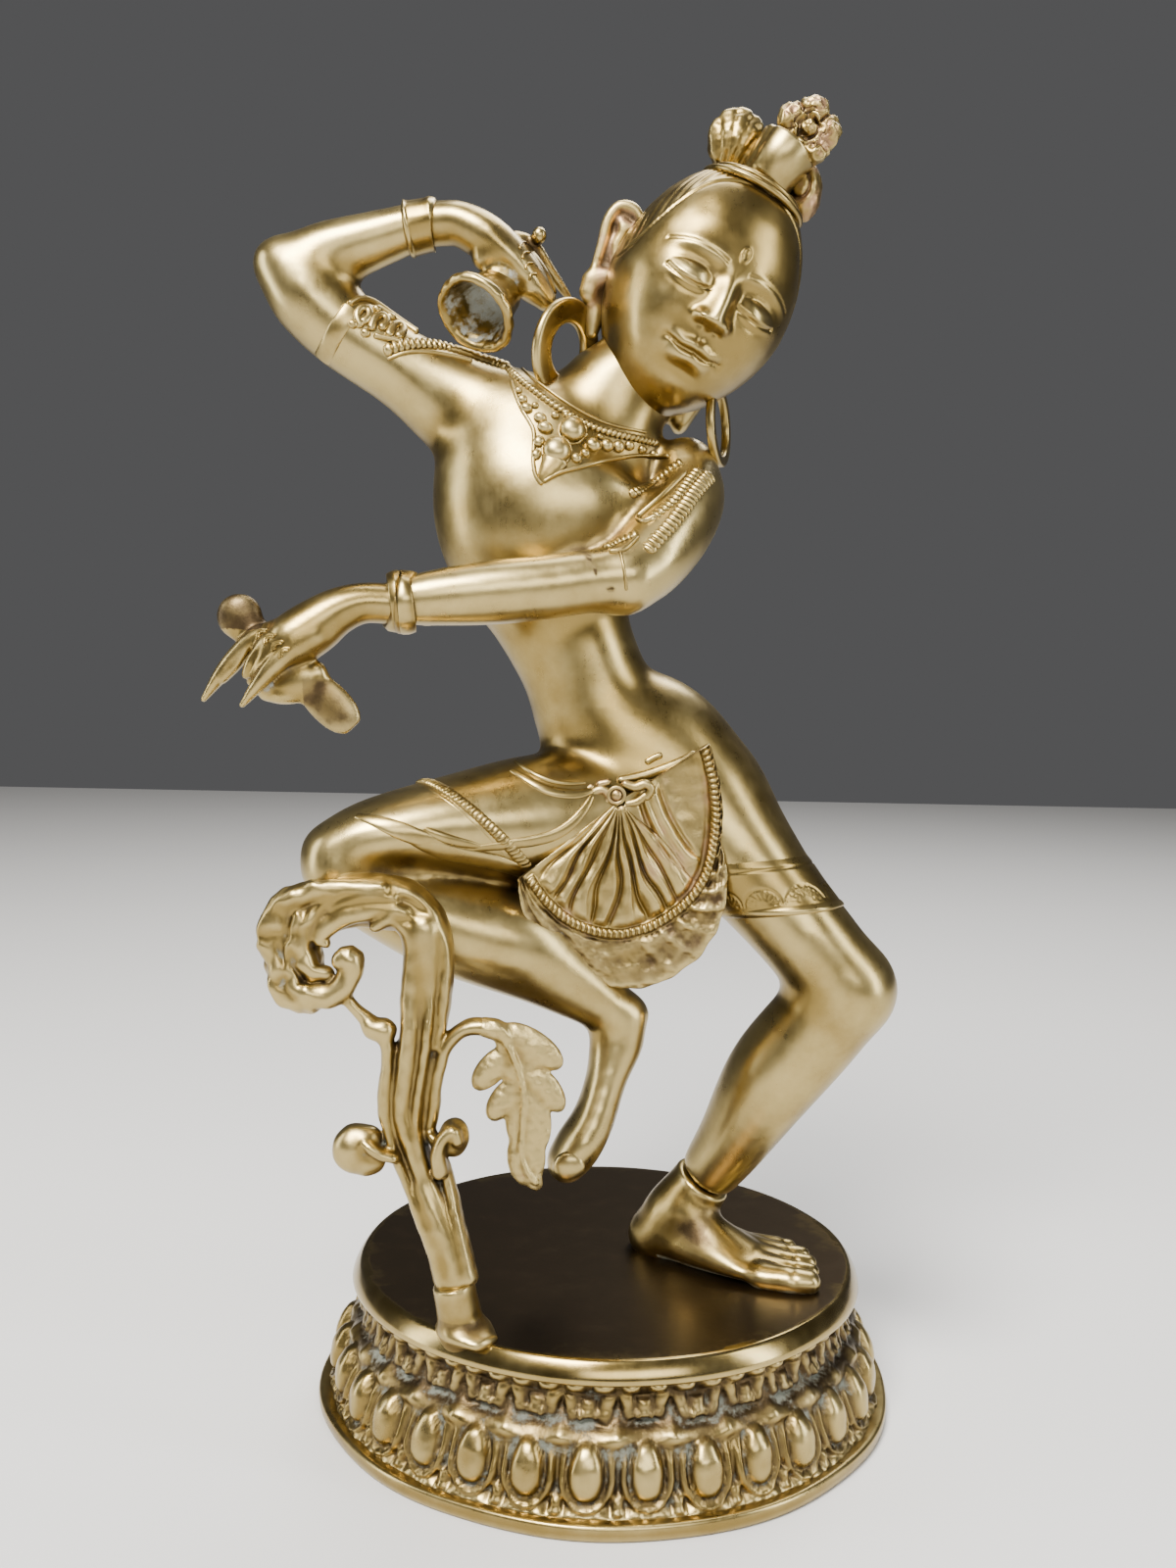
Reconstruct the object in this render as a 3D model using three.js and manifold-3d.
import * as THREE from "three";
import Module from "manifold-3d";

const wasm = await Module();
wasm.setup();

// Millimetres. Z is up, the figure looks along -Y, and X runs to the viewer's right.
// The origin is the centre of the plinth's underside.
// The figure's own left leg stands on the plinth at +X; its right leg is raised at -X.

// Plinth
const PLATE_RADIUS = 58;
const PLATE_TOP = 33;
const PLATE_EDGE = 28.6;
const NECK_RADIUS = 55.5;
const PETAL_COUNT = 32;
const PETAL_TURN = -3.6;
const PETAL_COLUMNS = [0, 2 / 3, -2 / 3];
const BOSS_RADIUS = 63.8;
const BOSS_HEIGHT = 13;
const BOSS_SWELL = 3.4;
const VALLEY_DEPTH = 1.2;
const UPPER_LEAF_HEIGHT = 23.2;
const UPPER_LEAF_SWELL = 1.8;
const FLANGE_RADIUS = 67.5;
const FLANGE_HEIGHT = 3.4;
const SEAM_GAP = 0.3;
const SEAM_CUTTER = 25;

// Shared sizes of the figure
const VIEW = [0, -1, 0];
const UP = [0, 0, 1];
const KNUCKLE = [35, 66];
const WIRE_SIDES = 5;
const HEAD_CENTRE = [15.8, -8, 254.4];
const HEAD_TILT = 27;
const HEAD_TURN = 17;
const HEAD_HALF = [20.8, 22.5, 27];

const FULL_TURN = 2 * Math.PI;
const CLOSE = 1e-6;
const WELD = 0.03;
const SLIVER = 0.01;
const SLIVER_PASSES = 4;
const radians = THREE.MathUtils.degToRad;
const vector = (a) => new THREE.Vector3(a[0], a[1], a[2]);
const mix = THREE.MathUtils.lerp;

// One closed solid from points and triangles, turned to face outwards.
function closed(points, faces) {
  const make = (list) =>
    new wasm.Manifold(
      new wasm.Mesh({
        numProp: 3,
        vertProperties: Float32Array.from(points.flatMap((p) => [p.x, p.y, p.z])),
        triVerts: Uint32Array.from(list.flat()),
      }),
    );
  const solid = make(faces);
  return solid.volume() > 0 ? solid : make(faces.map(([a, b, c]) => [a, c, b]));
}

// Joining leaves slivers where two surfaces cross at a low angle. Corners closer than WELD
// are made one, and a triangle flatter than SLIVER turns the edge it shares with its neighbour.
function cleaned(solid) {
  const mesh = solid.getMesh();
  const corner = (i) => vector(mesh.vertProperties.subarray(3 * i, 3 * i + 3));
  const points = Array.from({ length: mesh.numVert }, (_, i) => corner(i));
  const stands = points.map((_, i) => i);
  const find = (i) => (stands[i] === i ? i : find(stands[i]));
  let faces = Array.from({ length: mesh.numTri }, (_, i) => [...mesh.triVerts.subarray(3 * i, 3 * i + 3)]);
  const edges = ([a, b, c]) => [
    [a, b, c],
    [b, c, a],
    [c, a, b],
  ];
  for (const [a, b] of faces.flatMap(edges)) {
    if (points[a].distanceTo(points[b]) < WELD) stands[find(a)] = find(b);
  }
  faces = faces.map((face) => face.map(find)).filter(([a, b, c]) => a !== b && b !== c && c !== a);
  // Two faces left back to back on the same three corners go together.
  const name = (face) => [...face].sort().join();
  const count = new Map();
  faces.forEach((face) => count.set(name(face), (count.get(name(face)) ?? 0) + 1));
  faces = faces.filter((face) => count.get(name(face)) === 1);
  for (let pass = 0; pass < SLIVER_PASSES; pass++) {
    const across = new Map();
    faces.forEach((face, i) => edges(face).forEach(([a, b, c]) => across.set(`${a},${b}`, [i, c])));
    const turned = new Set();
    faces.forEach((face, i) => {
      if (turned.has(i)) return;
      const lengths = edges(face).map(([a, b]) => points[a].distanceTo(points[b]));
      const [a, b, c] = edges(face)[lengths.indexOf(Math.max(...lengths))];
      const height = new THREE.Line3(points[a], points[b])
        .closestPointToPoint(points[c], true, new THREE.Vector3())
        .distanceTo(points[c]);
      const [j, d] = across.get(`${b},${a}`);
      const taken = across.has(`${c},${d}`) || across.has(`${d},${c}`);
      if (height > SLIVER || taken || turned.has(j)) return;
      faces[i] = [a, d, c];
      faces[j] = [d, b, c];
      across.set(`${c},${d}`).set(`${d},${c}`);
      turned.add(i).add(j);
    });
  }
  const used = [...new Set(faces.flat())];
  const place = new Map(used.map((v, i) => [v, i]));
  return closed(
    used.map((v) => points[v]),
    faces.map((face) => face.map((v) => place.get(v))),
  );
}

// One closed solid from rings of points, every ring holding the same number of points.
// Each end is closed by a fan to the ring's own middle.
function skin(rings) {
  const n = rings[0].length;
  const middle = (ring) => ring.reduce((sum, p) => sum.add(p), new THREE.Vector3()).divideScalar(n);
  const points = [...rings.flat(), middle(rings[0]), middle(rings.at(-1))];
  const first = points.length - 2;
  const last = points.length - 1;
  const faces = [];
  for (let r = 0; r + 1 < rings.length; r++) {
    for (let c = 0; c < n; c++) {
      const d = (c + 1) % n;
      const [a, b, e, f] = [r * n + c, r * n + d, (r + 1) * n + d, (r + 1) * n + c];
      const longer = points[a].distanceTo(points[e]) - points[b].distanceTo(points[f]) > CLOSE;
      if (longer) faces.push([a, b, f], [b, e, f]);
      else faces.push([a, b, e], [a, e, f]);
    }
  }
  const top = (rings.length - 1) * n;
  for (let c = 0; c < n; c++) {
    const d = (c + 1) % n;
    faces.push([first, d, c], [last, top + c, top + d]);
  }
  return closed(points, faces);
}

// A round-ended limb: oval sections carried along its stations.
// A station is [x, y, z, half width, half depth]; depth is measured towards "front".
// "domes" says which ends are rounded, and "rounding" at what angles their rings lie.
function limb(stations, choices = {}) {
  const { around = 12, front = VIEW, domes = [1, 1], rounding = [52], outline = () => 1 } = choices;
  const ahead = vector(front);
  const frames = stations.map((station, i) => {
    const before = vector(stations[Math.max(i - 1, 0)]);
    const after = vector(stations[Math.min(i + 1, stations.length - 1)]);
    const along = after.sub(before).normalize();
    const side = along.clone().cross(ahead).normalize();
    const deep = side.clone().cross(along).normalize();
    return { at: vector(station), along, side, deep, wide: station[3], thick: station[4] };
  });
  const ring = (f, shift, size) =>
    Array.from({ length: around }, (_, c) => {
      const turn = (FULL_TURN * c) / around;
      const reach = size * outline(turn);
      return f.at
        .clone()
        .addScaledVector(f.along, shift)
        .addScaledVector(f.side, f.wide * reach * Math.cos(turn))
        .addScaledVector(f.deep, f.thick * reach * Math.sin(turn));
    });
  const rings = frames.map((f) => ring(f, 0, 1));
  const start = frames[0];
  const end = frames.at(-1);
  const reach = (f) => Math.min(f.wide, f.thick);
  for (const angle of rounding.map(radians)) {
    if (domes[0]) rings.unshift(ring(start, -Math.sin(angle) * reach(start), Math.cos(angle)));
    if (domes[1]) rings.push(ring(end, Math.sin(angle) * reach(end), Math.cos(angle)));
  }
  return skin(rings);
}

// An egg-shaped lump with its own three half sizes, turned to look along "front".
function lump(centre, half, choices = {}) {
  const { along = UP, front = VIEW, around = 7, rows = 5 } = choices;
  const axis = vector(along).normalize();
  const side = axis.clone().cross(vector(front)).normalize();
  const deep = side.clone().cross(axis);
  const rings = [];
  for (let r = 1; r < rows; r++) {
    const lift = (Math.PI * r) / rows;
    rings.push(
      Array.from({ length: around }, (_, c) => {
        const turn = (FULL_TURN * c) / around;
        return vector(centre)
          .addScaledVector(axis, -half[2] * Math.cos(lift))
          .addScaledVector(side, half[0] * Math.sin(lift) * Math.cos(turn))
          .addScaledVector(deep, half[1] * Math.sin(lift) * Math.sin(turn));
      }),
    );
  }
  return skin(rings);
}

// A closed ring of oval wire, for the earrings.
// "wire" holds the wire's half width across the ring and its half thickness along the axis.
function hoop({ centre, axis, across, radius, wire, around }) {
  const out = vector(axis).normalize();
  const first = vector(across);
  first.addScaledVector(out, -first.dot(out)).normalize();
  const second = out.clone().cross(first);
  const points = [];
  const faces = [];
  for (let r = 0; r < around; r++) {
    const turn = (FULL_TURN * r) / around;
    const away = first.clone().multiplyScalar(Math.cos(turn)).addScaledVector(second, Math.sin(turn));
    const here = r * WIRE_SIDES;
    const next = ((r + 1) % around) * WIRE_SIDES;
    for (let c = 0; c < WIRE_SIDES; c++) {
      const spin = (FULL_TURN * c) / WIRE_SIDES;
      points.push(
        vector(centre)
          .addScaledVector(away, radius + wire[0] * Math.cos(spin))
          .addScaledVector(out, wire[1] * Math.sin(spin)),
      );
      const d = (c + 1) % WIRE_SIDES;
      faces.push([here + c, next + c, next + d], [here + c, next + d, here + d]);
    }
  }
  return closed(points, faces);
}

// A flat-sided cutting block whose face passes through "at", square to "facing".
function halfSpace(at, facing, size) {
  const out = vector(facing).normalize();
  const side = new THREE.Vector3(0, 1, 0).cross(out).normalize();
  const other = out.clone().cross(side);
  const corner = (a, b, d) =>
    vector(at).addScaledVector(side, a).addScaledVector(other, b).addScaledVector(out, d);
  const square = (d) => [
    corner(-size, -size, d),
    corner(size, -size, d),
    corner(size, size, d),
    corner(-size, size, d),
  ];
  return skin([square(0), square(size * 2)]);
}

// A smooth hump: 1 in the middle of its span, 0 at and beyond both ends.
const hump = (value, middle, half) => Math.max(0, 1 - ((value - middle) / half) ** 2);

// Swelling of the plinth's side at a height, "phase" running from -1 to 1 across a petal
function petalRelief(height, phase) {
  const boss = hump(phase, 0, 0.7) * hump(height, BOSS_HEIGHT, 8.4);
  const valley = hump(Math.abs(phase), 1, 0.6) * hump(height, BOSS_HEIGHT - 1, 9);
  const leaf = hump(phase, 0, 0.9) * hump(height, UPPER_LEAF_HEIGHT, 3.6);
  return BOSS_SWELL * Math.sqrt(boss) - VALLEY_DEPTH * valley + UPPER_LEAF_SWELL * leaf;
}

// Profile rows are [height, radius].
const PLINTH_PROFILE = [
  [0, FLANGE_RADIUS - 0.4],
  [FLANGE_HEIGHT, FLANGE_RADIUS],
  [4.3, FLANGE_RADIUS - 3.6],
  [6.4, BOSS_RADIUS - 0.6],
  [9.6, BOSS_RADIUS - 1.2],
  [13.4, BOSS_RADIUS - 2.6],
  [17.2, BOSS_RADIUS - 4.2],
  [20.4, NECK_RADIUS + 0.8],
  [23, NECK_RADIUS],
  [26.4, NECK_RADIUS + 1.4],
  [PLATE_EDGE, PLATE_RADIUS + 2],
  [PLATE_TOP, PLATE_RADIUS],
];

// A turned profile swollen by the petals' oval bosses and pinched between them
function plinthBody() {
  const columns = PETAL_COUNT * PETAL_COLUMNS.length;
  const rings = PLINTH_PROFILE.map(([height, radius]) =>
    Array.from({ length: columns }, (_, c) => {
      const phase = PETAL_COLUMNS[c % PETAL_COLUMNS.length];
      const reach = radius + petalRelief(height, phase);
      const turn = radians(PETAL_TURN - 90 + (c * 360) / columns);
      return vector([reach * Math.cos(turn), reach * Math.sin(turn), height]);
    }),
  );
  return skin(rings);
}

// The planted foot and its ankle stump, cast with the plinth up to the seam
const ANKLE_SEAM = [23, -2, 51];
const SHIN_LINE = [0.46, -0.1, 0.88];
const PLANTED_FOOT = [
  [10.5, 2, 36, 4.4, 5],
  [16, -1, 37.5, 6.2, 7],
  [23.5, -5, 37.5, 7.4, 6.6],
  [32, -9, 36, 8, 5],
  [41, -11, 34.5, 8.6, 3.4],
  [47.5, -13, 34, 7.4, 2.6],
];
const ANKLE = [
  [14, 0.5, 36, 6.4, 6.5],
  [17.5, 0, 42, 6.8, 7],
  [21, -1, 48, 7.2, 7.6],
  [26, -2.5, 57, 8.8, 9],
];
// The vine's foot stub, up to its own seam
const VINE_SEAM = [-32.3, -47, 43.8];
const VINE_LINE = [-0.2, 0.05, 0.97];
const VINE_STUB = [
  [-30, -46, 31, 7.5, 5.4],
  [-30.6, -46.4, 35, 5.8, 5.2],
  [-31.6, -47, 40, 5.3, 5.4],
  [-33.2, -46.6, 48, 5.2, 5.6],
];

// Torso, from the hips to the root of the neck
const TORSO = [
  [7, 0, 143, 23, 18.5],
  [3.5, -1, 152.5, 22, 18],
  [-4.5, -3, 163.5, 15.6, 14.5],
  [-8.5, -4, 172.5, 14, 13],
  [-13, -4, 183.5, 16, 14],
  [-15.5, -6, 195, 23, 18.5],
  [-16, -6.5, 208, 27, 20],
  [-13, -5, 219, 27, 17],
  [-7, -4, 227, 18, 13],
  [-3, -4, 234, 12, 11],
];
const NECK = [
  [-6, -4, 226, 13.5, 11],
  [0, -5, 234, 10.8, 10],
  [5, -6, 242, 10.5, 10],
  [10, -7, 250, 11, 11],
];
const NECK_STRUT = [
  [13, 1, 228, 2.2, 4.5],
  [15.5, 1, 233.5, 3, 5],
  [20, 2, 240, 3.4, 5.5],
];
// Legs
const STANDING_THIGH = [
  [13, 0, 147.5, 17.5, 18],
  [20, -2, 140.5, 17, 18],
  [28, -6, 131, 14, 16],
  [36.8, -10, 120.5, 11.8, 13.5],
  [45, -13, 111, 11, 12.5],
  [53, -14, 101, 11, 12],
];
const STANDING_SHIN = [
  [53.6, -14, 100, 10.8, 11.5],
  [46, -11, 89.5, 11.4, 12],
  [37.5, -8, 77.5, 11, 12.5],
  [29.3, -5, 62, 8.8, 10.5],
  [22.6, -2, 50, 7.2, 8],
  [20, -1, 45, 7, 7.6],
];
const RAISED_THIGH = [
  [3, -4, 138.5, 16, 18],
  [-10.5, -10, 138, 15.5, 17],
  [-24, -16, 137.5, 14, 16],
  [-38.5, -22, 137, 10.5, 14],
  [-53, -27, 134.5, 8.5, 12],
  [-61, -29.5, 131.5, 7, 9.5],
];
const RAISED_CALF = [
  [-60, -30, 127, 7.5, 9.5],
  [-48.5, -27, 120.5, 9, 11],
  [-36, -24, 115, 10.7, 11.5],
  [-21, -21, 110, 11.3, 11.5],
  [-9, -18, 102, 8.6, 9],
  [-0.5, -16, 95.5, 6.2, 7],
];
const HANGING_FOOT = [
  [5, -15, 94, 3.8, 5.5],
  [1.5, -16, 88, 6.2, 6.5],
  [-1, -17.5, 79.5, 4.8, 7],
  [-4, -19, 71, 4.4, 8],
  [-7.5, -20.5, 64.5, 4.6, 8.5],
  [-10, -21, 60.5, 3.2, 7],
];
// Arms
const RAISED_ARM = [
  [-24, -3, 224.5, 14.5, 14],
  [-37, -3, 231, 12, 12],
  [-49.5, -4, 238.5, 9, 10],
  [-63.5, -5, 247.5, 9, 9.5],
  [-73.5, -6, 256, 9.4, 9],
  [-78, -6, 260, 7, 7],
];
const RAISED_FOREARM = [
  [-75, -6, 260.5, 7, 7],
  [-67, -6, 263.5, 7.3, 7.5],
  [-57, -7, 266.5, 6.3, 6.5],
  [-47, -8, 269.5, 5.2, 5.3],
  [-43, -8, 270, 4.6, 5],
];
const RAISED_HAND = [
  [-43.5, -8, 270, 4.4, 5],
  [-37, -9, 270.5, 3.9, 5.5],
  [-31.5, -9.5, 267.5, 4.1, 6],
  [-26, -9, 262.5, 4.3, 6],
  [-21, -8, 257.5, 3.1, 5],
  [-17.5, -7, 253.5, 1.4, 3],
];
const REAR_FINGER = [
  [-25, -6, 267.5, 2.4, 3],
  [-21.5, -4, 267.5, 2.2, 2.6],
  [-17.5, -2, 262.5, 1.3, 2.2],
  [-13, -1, 257, 0.9, 1.4],
];
const FRONT_ARM = [
  [14.5, -6, 217, 7.4, 9],
  [15, -10, 210.5, 8.2, 10],
  [11.5, -17, 203, 8.6, 10.5],
  [6, -24, 195.5, 8.2, 10],
  [1, -28.5, 191, 7.2, 8.5],
];
const FRONT_FOREARM = [
  [-0.5, -29, 191, 6.8, 7.5],
  [-7, -31, 190.5, 6.8, 7.5],
  [-15.5, -33, 189, 6.9, 7.5],
  [-27.5, -35, 187.5, 6.9, 7.5],
  [-39.5, -37, 186, 5.9, 6.5],
  [-50, -38.5, 184.5, 4.3, 5],
];
const FRONT_HAND = [
  [-49, -38.5, 184.5, 4.2, 5],
  [-53.5, -39.5, 185, 3.8, 5],
  [-58.5, -40.5, 183.5, 3.8, 5.5],
  [-63, -41.5, 180.5, 4.2, 6],
  [-68, -42.5, 177, 4.2, 6.5],
  [-71, -43, 174.5, 3.6, 6],
];
const FOREFINGER = [
  [-67.5, -45, 174, 2.4, 3],
  [-70.5, -46, 171, 2, 2.8],
  [-73.5, -46.5, 167, 1.6, 2.4],
  [-77, -47, 163, 0.9, 1.2],
];
const LITTLE_FINGER = [
  [-73, -40, 178.5, 2, 3.2],
  [-79, -40, 174.5, 1.9, 3],
  [-82.5, -40, 170.5, 1.8, 2.6],
  [-86.5, -40, 164.5, 0.9, 1.2],
];
const FOLDED_FINGERS = [
  [
    [-73.5, -42, 178.5, 1.4, 2],
    [-76, -42, 173.5, 1.3, 2],
    [-77.5, -41, 169.5, 1.1, 1.8],
  ],
  [
    [-71, -43.5, 177, 1.4, 2],
    [-73, -44, 172.5, 1.3, 2],
    [-75.5, -43, 168.5, 1, 1.8],
  ],
];
// The object held in the lowered hand: a bar with a round end and a tongue-shaped end
const HELD_BAR = [
  [-81.5, -37, 182.5, 3.4, 2.4],
  [-78.5, -37, 179.5, 4.3, 2.6],
  [-72.5, -37, 174, 3, 4],
  [-67, -38, 169, 3.8, 4.6],
  [-63.5, -39, 166.5, 4, 2.6],
  [-59, -40.5, 163, 4.3, 2.2],
  [-55.5, -42, 160, 3, 1.8],
];

// Bangles, as short collars around the wrists
const BANGLES = [
  [
    [-48.8, -38.2, 184.7, 5.8, 6.6],
    [-46.2, -38, 185, 6.8, 7.6],
  ],
  [
    [-45.6, -37.9, 185, 6.8, 7.6],
    [-43.4, -37.6, 185.3, 6.2, 7],
  ],
  [
    [-48, -7.8, 269.2, 6.2, 6.6],
    [-43.2, -8, 270, 5.8, 6.4],
  ],
];

// Bell in the raised hand: its mouth opens down towards the viewer
const BELL_MOUTH = [-33.2, -16.5, 248.5];
const BELL_AXIS = [0.43, 0.65, 0.63];
const BELL_OUTSIDE = [
  [0, 9.9],
  [1.4, 9.6],
  [4, 7.4],
  [8, 6],
  [12, 5.2],
  [15, 3.4],
];
const BELL_INSIDE = [
  [-1, 8.9],
  [0.6, 8.2],
  [3.4, 6.2],
  [7.5, 4.6],
  [10, 2.6],
];

// Vine that carries the raised knee: a stem of three strands that ends in a leafy volute
const VINE = [
  [-31.5, -47, 40, 5.3, 5.4],
  [-33.5, -46.6, 47, 5.3, 5.4],
  [-36.5, -46, 56, 6.1, 5.4],
  [-40, -45.3, 67, 5.9, 5.2],
  [-43.4, -44.6, 80, 5.4, 5],
  [-43.4, -44, 94, 5.2, 5],
  [-40.6, -43, 105, 5.2, 5],
  [-39.8, -42, 113.5, 5.2, 5.2],
  [-42.2, -41, 120, 5.4, 5.6],
  [-48, -40, 122.6, 5, 6],
  [-55, -39.4, 123, 4.6, 6.2],
  [-61, -39, 122, 4.6, 6.4],
  [-66.5, -39, 119, 5, 6],
  [-69, -39.4, 114, 5.2, 6],
  [-68.3, -40.2, 108.5, 4.4, 5.5],
  [-66, -41, 104.5, 3.4, 5],
  [-62.5, -42.5, 103, 2.4, 4],
];
const STRAND_GROOVE = 0.09;
const strands = (turn) => 1 - STRAND_GROOVE * (1 - Math.cos(6 * turn));
const LEAF_STEM = [
  [-38.3, -43, 75.5, 1.5, 2.2],
  [-37.3, -43, 83, 1.5, 2.2],
  [-36.3, -43, 89.5, 1.6, 2.2],
  [-34.3, -43, 94, 1.7, 2.3],
  [-31, -43, 96.8, 1.8, 2.4],
  [-27, -43, 97, 2.1, 2.8],
  [-23.6, -43, 95.8, 2, 2.6],
];
const TENDRIL = [
  [-61.5, -44, 103.5, 2, 2.4],
  [-58, -45, 105, 2.1, 2.4],
  [-55, -45.5, 108, 2.1, 2.4],
  [-54.4, -45.5, 111, 1.8, 2.2],
];
const TENDRIL_STEM = [
  [-57, -44, 104.5, 1.2, 1.6],
  [-53, -43.5, 100, 1.2, 1.6],
  [-50, -43, 96, 1.5, 2],
];
const BUDS = [
  [[-51.6, -44.5, 70.5], [5.8, 4.6, 5.4]],
  [[-34.4, -44.5, 72.6], [3.8, 3.4, 4.4]],
];
// Outline of the lobed leaf, from its stem round the right side to the tip and back
const LEAF_OUTLINE = [
  [-24, 97],
  [-19, 96.6],
  [-14.6, 94.6],
  [-11, 90.5],
  [-11.6, 88.8],
  [-15.6, 88.8],
  [-12.2, 85.8],
  [-10.8, 82],
  [-12, 80.6],
  [-15.6, 81.4],
  [-13.8, 77],
  [-14.6, 70],
  [-16, 63],
  [-18.4, 63.4],
  [-22, 69],
  [-22.4, 77.4],
  [-25.4, 78.4],
  [-25, 82.6],
  [-23.2, 84.8],
  [-28.6, 84.2],
  [-27.6, 89],
  [-24.4, 93.4],
];
const LEAF_FRONT = -44;
const LEAF_THICKNESS = 2.8;

// Pleated apron: a fan with its pivot at the knot of the hip cloth
const APRON_PIVOT = [0.6, -21, 143.3];
const APRON_PLEATS = 7;
const APRON_FROM = -28;
const APRON_TO = 134;
const APRON_SIDE = 20;
const APRON_DROP = 32;
const APRON_TAPER = 0.1;
const APRON_FRINGE = 11;
const APRON_BACK = 5;
// It lies over the raised thigh at its left and falls in towards the foot.
const APRON_RISE = 0.32;
const APRON_RISE_FROM = 6;
const APRON_FALL = 0.05;
const APRON_FALL_FROM = 125;
// Rows across a pleat are [share of the band's reach, depth, pleat's swing].
const APRON_ROWS = [
  [0.12, -1, 0],
  [0.5, -1, 0.8],
  [0.86, -1, 1.1],
  [0.97, -1.9, 0],
];

// Head measures are in the head's own frame: right, ahead and up from its centre.
const HEAD_ROWS = 10;
const HEAD_COLUMNS = 16;
const JAW_TAPER = 0.18;
// Nose stations are [ahead, up, half width, half depth].
const NOSE = [
  [21, 5, 1.4, 1.6],
  [24, -3, 2.2, 2.4],
  [22.5, -7, 3, 2.4],
];
const LIPS_AT = [20.5, -12.5];
const LIPS = [5, 2, 1.8];

// Hair gathered into a knot, with a fan lobe on one side, a bean lobe on the other
// and a flower in front
const KNOT = [
  [28.6, -8, 277, 8.6, 10],
  [30.6, -8, 281, 6.6, 8.4],
  [33.2, -8, 286, 5.6, 7.4],
  [36, -8.5, 291.5, 5.4, 6.6],
];
const FAN_LOBE = { at: [24, -3, 290.6], half: [6.4, 7, 6.6], along: [0.3, 0, 0.95] };
const BEAN_LOBE = { at: [39.7, -5, 279.2], half: [3.6, 5, 6.6], along: [0.15, 0, 0.98] };
const FLOWER_AT = [4, 10, 40];
const FLOWER_PETALS = 7;
const FLOWER_RADIUS = 7;
const FLOWER_NOTCH = 5.4;
const FLOWER_BOSS = [2.2, 2, 2.2];
// Flower layers are [depth, share of the full radius].
const FLOWER_LAYERS = [
  [-1.6, 0.55],
  [0, 1],
  [1.6, 1],
  [3.2, 0.6],
];

// Ears with long lobes, and their ring ornaments
const NEAR_EAR = [
  [0.2, -3, 275, 2.6, 3],
  [-2.6, -4, 268, 2.8, 3],
  [-5.8, -5, 262, 2.2, 2.8],
  [-8.2, -6.5, 256.8, 2.6, 2.8],
];
const FAR_EAR = [
  [34, -2, 254, 1.4, 3],
  [32, -1, 248.4, 1.8, 3],
  [27, -2.5, 242, 1.7, 2.6],
  [21.6, -4.5, 235.8, 1.8, 2.4],
];
const NEAR_RING = {
  centre: [-13.2, -9, 244.7],
  axis: [0.72, -0.57, -0.39],
  across: [0.48, 0, 0.88],
  radius: 9.2,
  wire: [1.7, 1.2],
  around: 16,
};
const FAR_RING = {
  centre: [21.7, -5.5, 227.5],
  axis: [0.95, -0.3, 0.05],
  across: [0, 0, 1],
  radius: 8,
  wire: [1.3, 1],
  around: 12,
};

const join = (list) => list.reduce((all, next) => all.add(next));

function apron() {
  const columns = APRON_PLEATS * 4;
  const rings = Array.from({ length: columns + 1 }, (_, c) => {
    const degrees = mix(APRON_FROM, APRON_TO, c / columns);
    const turn = radians(degrees);
    const low = Math.sin(radians(Math.min(90, Math.max(0, degrees))));
    const band = mix(APRON_SIDE, APRON_DROP, low) - APRON_TAPER * Math.max(0, degrees - 92);
    const hem = band + 0.8;
    const fringe = hem + mix(0.6, APRON_FRINGE, hump(degrees, 82, 48));
    const flute = Math.cos((FULL_TURN * APRON_PLEATS * c) / columns);
    const drape = (reach, depth) => {
      const x = APRON_PIVOT[0] + reach * Math.cos(turn);
      const z = APRON_PIVOT[2] - reach * Math.sin(turn);
      const rise = APRON_RISE * Math.max(0, APRON_RISE_FROM - x);
      const fall = APRON_FALL * Math.max(0, APRON_FALL_FROM - z);
      return vector([x, APRON_PIVOT[1] - rise + fall + depth, z]);
    };
    return [
      ...APRON_ROWS.map(([share, depth, swing]) => drape(share * band, depth - swing * flute)),
      drape(hem, -1),
      drape(fringe, -0.8 - 0.35 * flute),
      drape(fringe, APRON_BACK),
      drape(2, APRON_BACK),
    ];
  });
  return skin(rings);
}

// A body of revolution around the bell's axis from rows of [height, radius]
function turned(profile, around) {
  const up = vector(BELL_AXIS).normalize();
  const side = new THREE.Vector3(0, 1, 0).cross(up).normalize();
  const other = up.clone().cross(side);
  return skin(
    profile.map(([height, radius]) =>
      Array.from({ length: around }, (_, c) => {
        const turn = (FULL_TURN * c) / around;
        return vector(BELL_MOUTH)
          .addScaledVector(up, height)
          .addScaledVector(side, radius * Math.cos(turn))
          .addScaledVector(other, radius * Math.sin(turn));
      }),
    ),
  );
}

// The leaf is a flat plate with a lobed outline, its broad side towards the viewer.
function leaf() {
  const contour = LEAF_OUTLINE.map(([x, z]) => new THREE.Vector2(x, z));
  const n = contour.length;
  const plate = [LEAF_FRONT, LEAF_FRONT + LEAF_THICKNESS];
  const points = plate.flatMap((y) => contour.map((p) => new THREE.Vector3(p.x, y, p.y)));
  const faces = THREE.ShapeUtils.triangulateShape(contour, []);
  const behind = faces.map(([a, b, c]) => [a + n, c + n, b + n]);
  const edge = contour.flatMap((_, a) => {
    const b = (a + 1) % n;
    return [
      [a, b, b + n],
      [a, b + n, a + n],
    ];
  });
  return closed(points, [...faces, ...behind, ...edge]);
}

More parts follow.
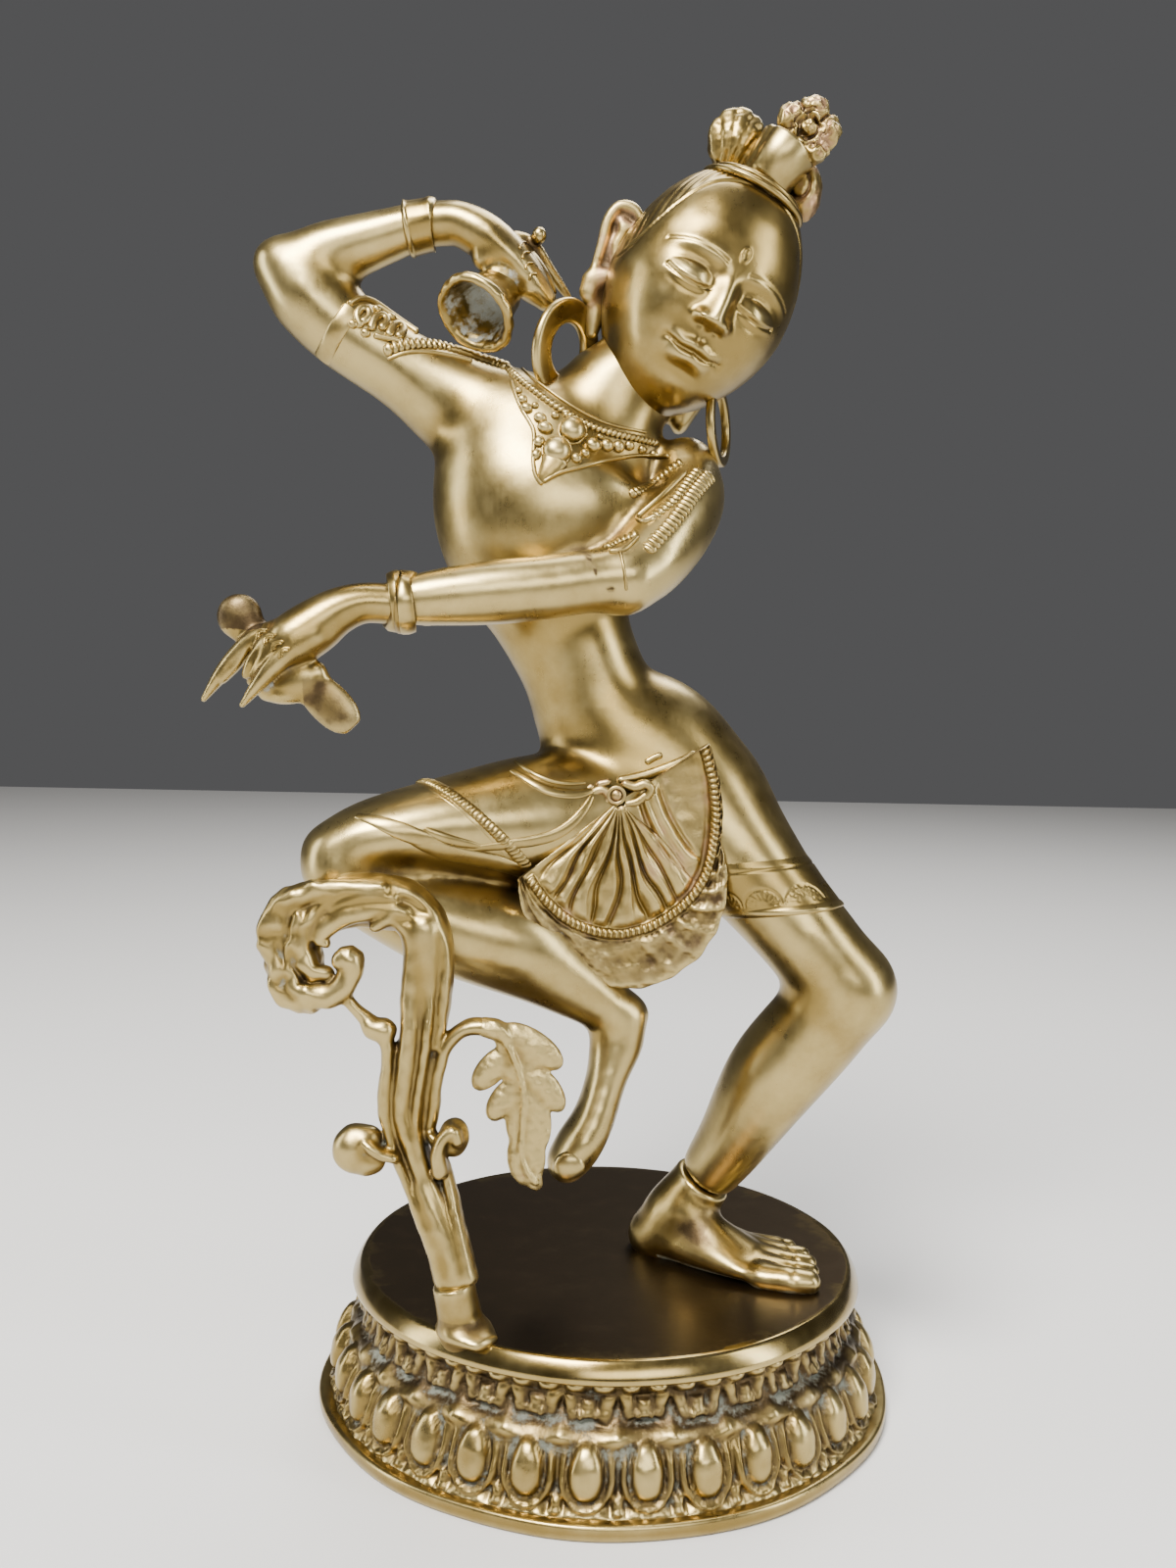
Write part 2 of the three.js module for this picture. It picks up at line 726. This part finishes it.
// Head: an egg that narrows to the chin, tilted and turned
const HEAD_UP = [Math.sin(radians(HEAD_TILT)), 0, Math.cos(radians(HEAD_TILT))];
const headSide = vector([Math.cos(radians(HEAD_TILT)), 0, -Math.sin(radians(HEAD_TILT))]);
const headFront = vector(VIEW)
  .multiplyScalar(Math.cos(radians(HEAD_TURN)))
  .addScaledVector(headSide, Math.sin(radians(HEAD_TURN)));
const headRight = headFront.clone().cross(vector(HEAD_UP)).negate();

// A point of the head from its own right, forward and up measures.
function onHead(right, ahead, up) {
  return vector(HEAD_CENTRE)
    .addScaledVector(headRight, right)
    .addScaledVector(headFront, ahead)
    .addScaledVector(vector(HEAD_UP), up)
    .toArray();
}

function head() {
  const rings = [];
  for (let r = 1; r < HEAD_ROWS; r++) {
    const lift = -Math.cos((Math.PI * r) / HEAD_ROWS);
    const jaw = 1 - JAW_TAPER * Math.max(0, -lift) ** 1.3;
    const belt = Math.sqrt(1 - lift * lift);
    rings.push(
      Array.from({ length: HEAD_COLUMNS }, (_, c) => {
        const turn = (FULL_TURN * c) / HEAD_COLUMNS;
        const right = HEAD_HALF[0] * belt * jaw * Math.cos(turn);
        const ahead = HEAD_HALF[1] * belt * Math.sin(turn);
        return vector(onHead(right, ahead, HEAD_HALF[2] * lift));
      }),
    );
  }
  const facing = headFront.toArray();
  const nose = NOSE.map(([ahead, up, wide, thick]) => [...onHead(0, ahead, up), wide, thick]);
  return join([
    skin(rings),
    limb(nose, { around: 6, front: facing }),
    lump(onHead(0, ...LIPS_AT), LIPS, { along: HEAD_UP, front: facing, around: 6, rows: 4 }),
  ]);
}

// The flower at the front of the hair knot: a toothed disc with a round boss
function hairFlower() {
  const [x, y, z] = onHead(...FLOWER_AT);
  const layers = FLOWER_LAYERS.map(([depth, size]) =>
    Array.from({ length: FLOWER_PETALS * 2 }, (_, c) => {
      const turn = (Math.PI * c) / FLOWER_PETALS;
      const radius = size * (c % 2 ? FLOWER_NOTCH : FLOWER_RADIUS);
      return vector([x + radius * Math.cos(turn), y + depth, z + radius * Math.sin(turn)]);
    }),
  );
  return join([skin(layers), lump([x, y - 1.4, z], FLOWER_BOSS, { rows: 4 })]);
}

const dancer = join([
  limb(TORSO, { around: 16 }),
  limb(NECK, { around: 12 }),
  limb(NECK_STRUT, { around: 6 }),
  limb(STANDING_THIGH, { around: 12, rounding: KNUCKLE }),
  limb(STANDING_SHIN, { around: 12, domes: [1, 0] }),
  limb(RAISED_THIGH, { around: 12, rounding: KNUCKLE }),
  limb(RAISED_CALF, { around: 10 }),
  limb(HANGING_FOOT, { around: 8 }),
  limb(RAISED_ARM, { around: 10, rounding: KNUCKLE }),
  limb(RAISED_FOREARM, { around: 10 }),
  limb(RAISED_HAND, { around: 8 }),
  limb(REAR_FINGER, { around: 5 }),
  limb(FRONT_ARM, { around: 10, rounding: KNUCKLE }),
  limb(FRONT_FOREARM, { around: 10 }),
  limb(FRONT_HAND, { around: 8 }),
  limb(FOREFINGER, { around: 6 }),
  limb(LITTLE_FINGER, { around: 6 }),
  ...FOLDED_FINGERS.map((finger) => limb(finger, { around: 4 })),
  limb(HELD_BAR, { around: 8 }),
  ...BANGLES.map((bangle) => limb(bangle, { around: 10, domes: [0, 0] })),
  turned(BELL_OUTSIDE, 14),
  head(),
  limb(NEAR_EAR, { around: 6 }),
  limb(FAR_EAR, { around: 6 }),
  limb(KNOT, { around: 10 }),
  lump(FAN_LOBE.at, FAN_LOBE.half, { along: FAN_LOBE.along, around: 9, rows: 6 }),
  lump(BEAN_LOBE.at, BEAN_LOBE.half, { along: BEAN_LOBE.along }),
  hairFlower(),
  hoop(NEAR_RING),
  hoop(FAR_RING),
  apron(),
  limb(VINE, { around: 12, domes: [0, 1], outline: strands }),
  limb(LEAF_STEM, { around: 5 }),
  limb(TENDRIL, { around: 5 }),
  limb(TENDRIL_STEM, { around: 4 }),
  ...BUDS.map(([at, half]) => lump(at, half)),
  leaf(),
]);

// The bell is hollowed, and the casting is parted at the two seams.
const back = (line) => line.map((v) => -v);
const shifted = (at, line, by) => at.map((v, i) => v + line[i] * by);
const figure = dancer
  .subtract(turned(BELL_INSIDE, 10))
  .subtract(halfSpace(ANKLE_SEAM, back(SHIN_LINE), SEAM_CUTTER))
  .subtract(halfSpace(VINE_SEAM, back(VINE_LINE), SEAM_CUTTER));
const foot = join([
  limb(PLANTED_FOOT, { around: 12, front: UP }),
  limb(ANKLE, { around: 12 }),
]).subtract(halfSpace(shifted(ANKLE_SEAM, SHIN_LINE, -SEAM_GAP), SHIN_LINE, SEAM_CUTTER));
const stub = limb(VINE_STUB, { around: 10 }).subtract(
  halfSpace(shifted(VINE_SEAM, VINE_LINE, -SEAM_GAP), VINE_LINE, SEAM_CUTTER),
);
const plinth = join([plinthBody(), foot, stub]);

function node(name, solid, colour) {
  const made = cleaned(solid).getMesh();
  const geometry = new THREE.BufferGeometry();
  geometry.setAttribute("position", new THREE.BufferAttribute(made.vertProperties, 3));
  geometry.setIndex(new THREE.BufferAttribute(made.triVerts, 1));
  geometry.computeVertexNormals();
  const material = new THREE.MeshStandardMaterial({ color: colour, roughness: 0.35, metalness: 1 });
  const mesh = new THREE.Mesh(geometry, material);
  mesh.name = name;
  return mesh;
}

const group = new THREE.Group();
group.add(node("lotus_plinth", plinth, 0x8f7440));
group.add(node("dancing_figure", figure, 0xa88a4a));
export default group;
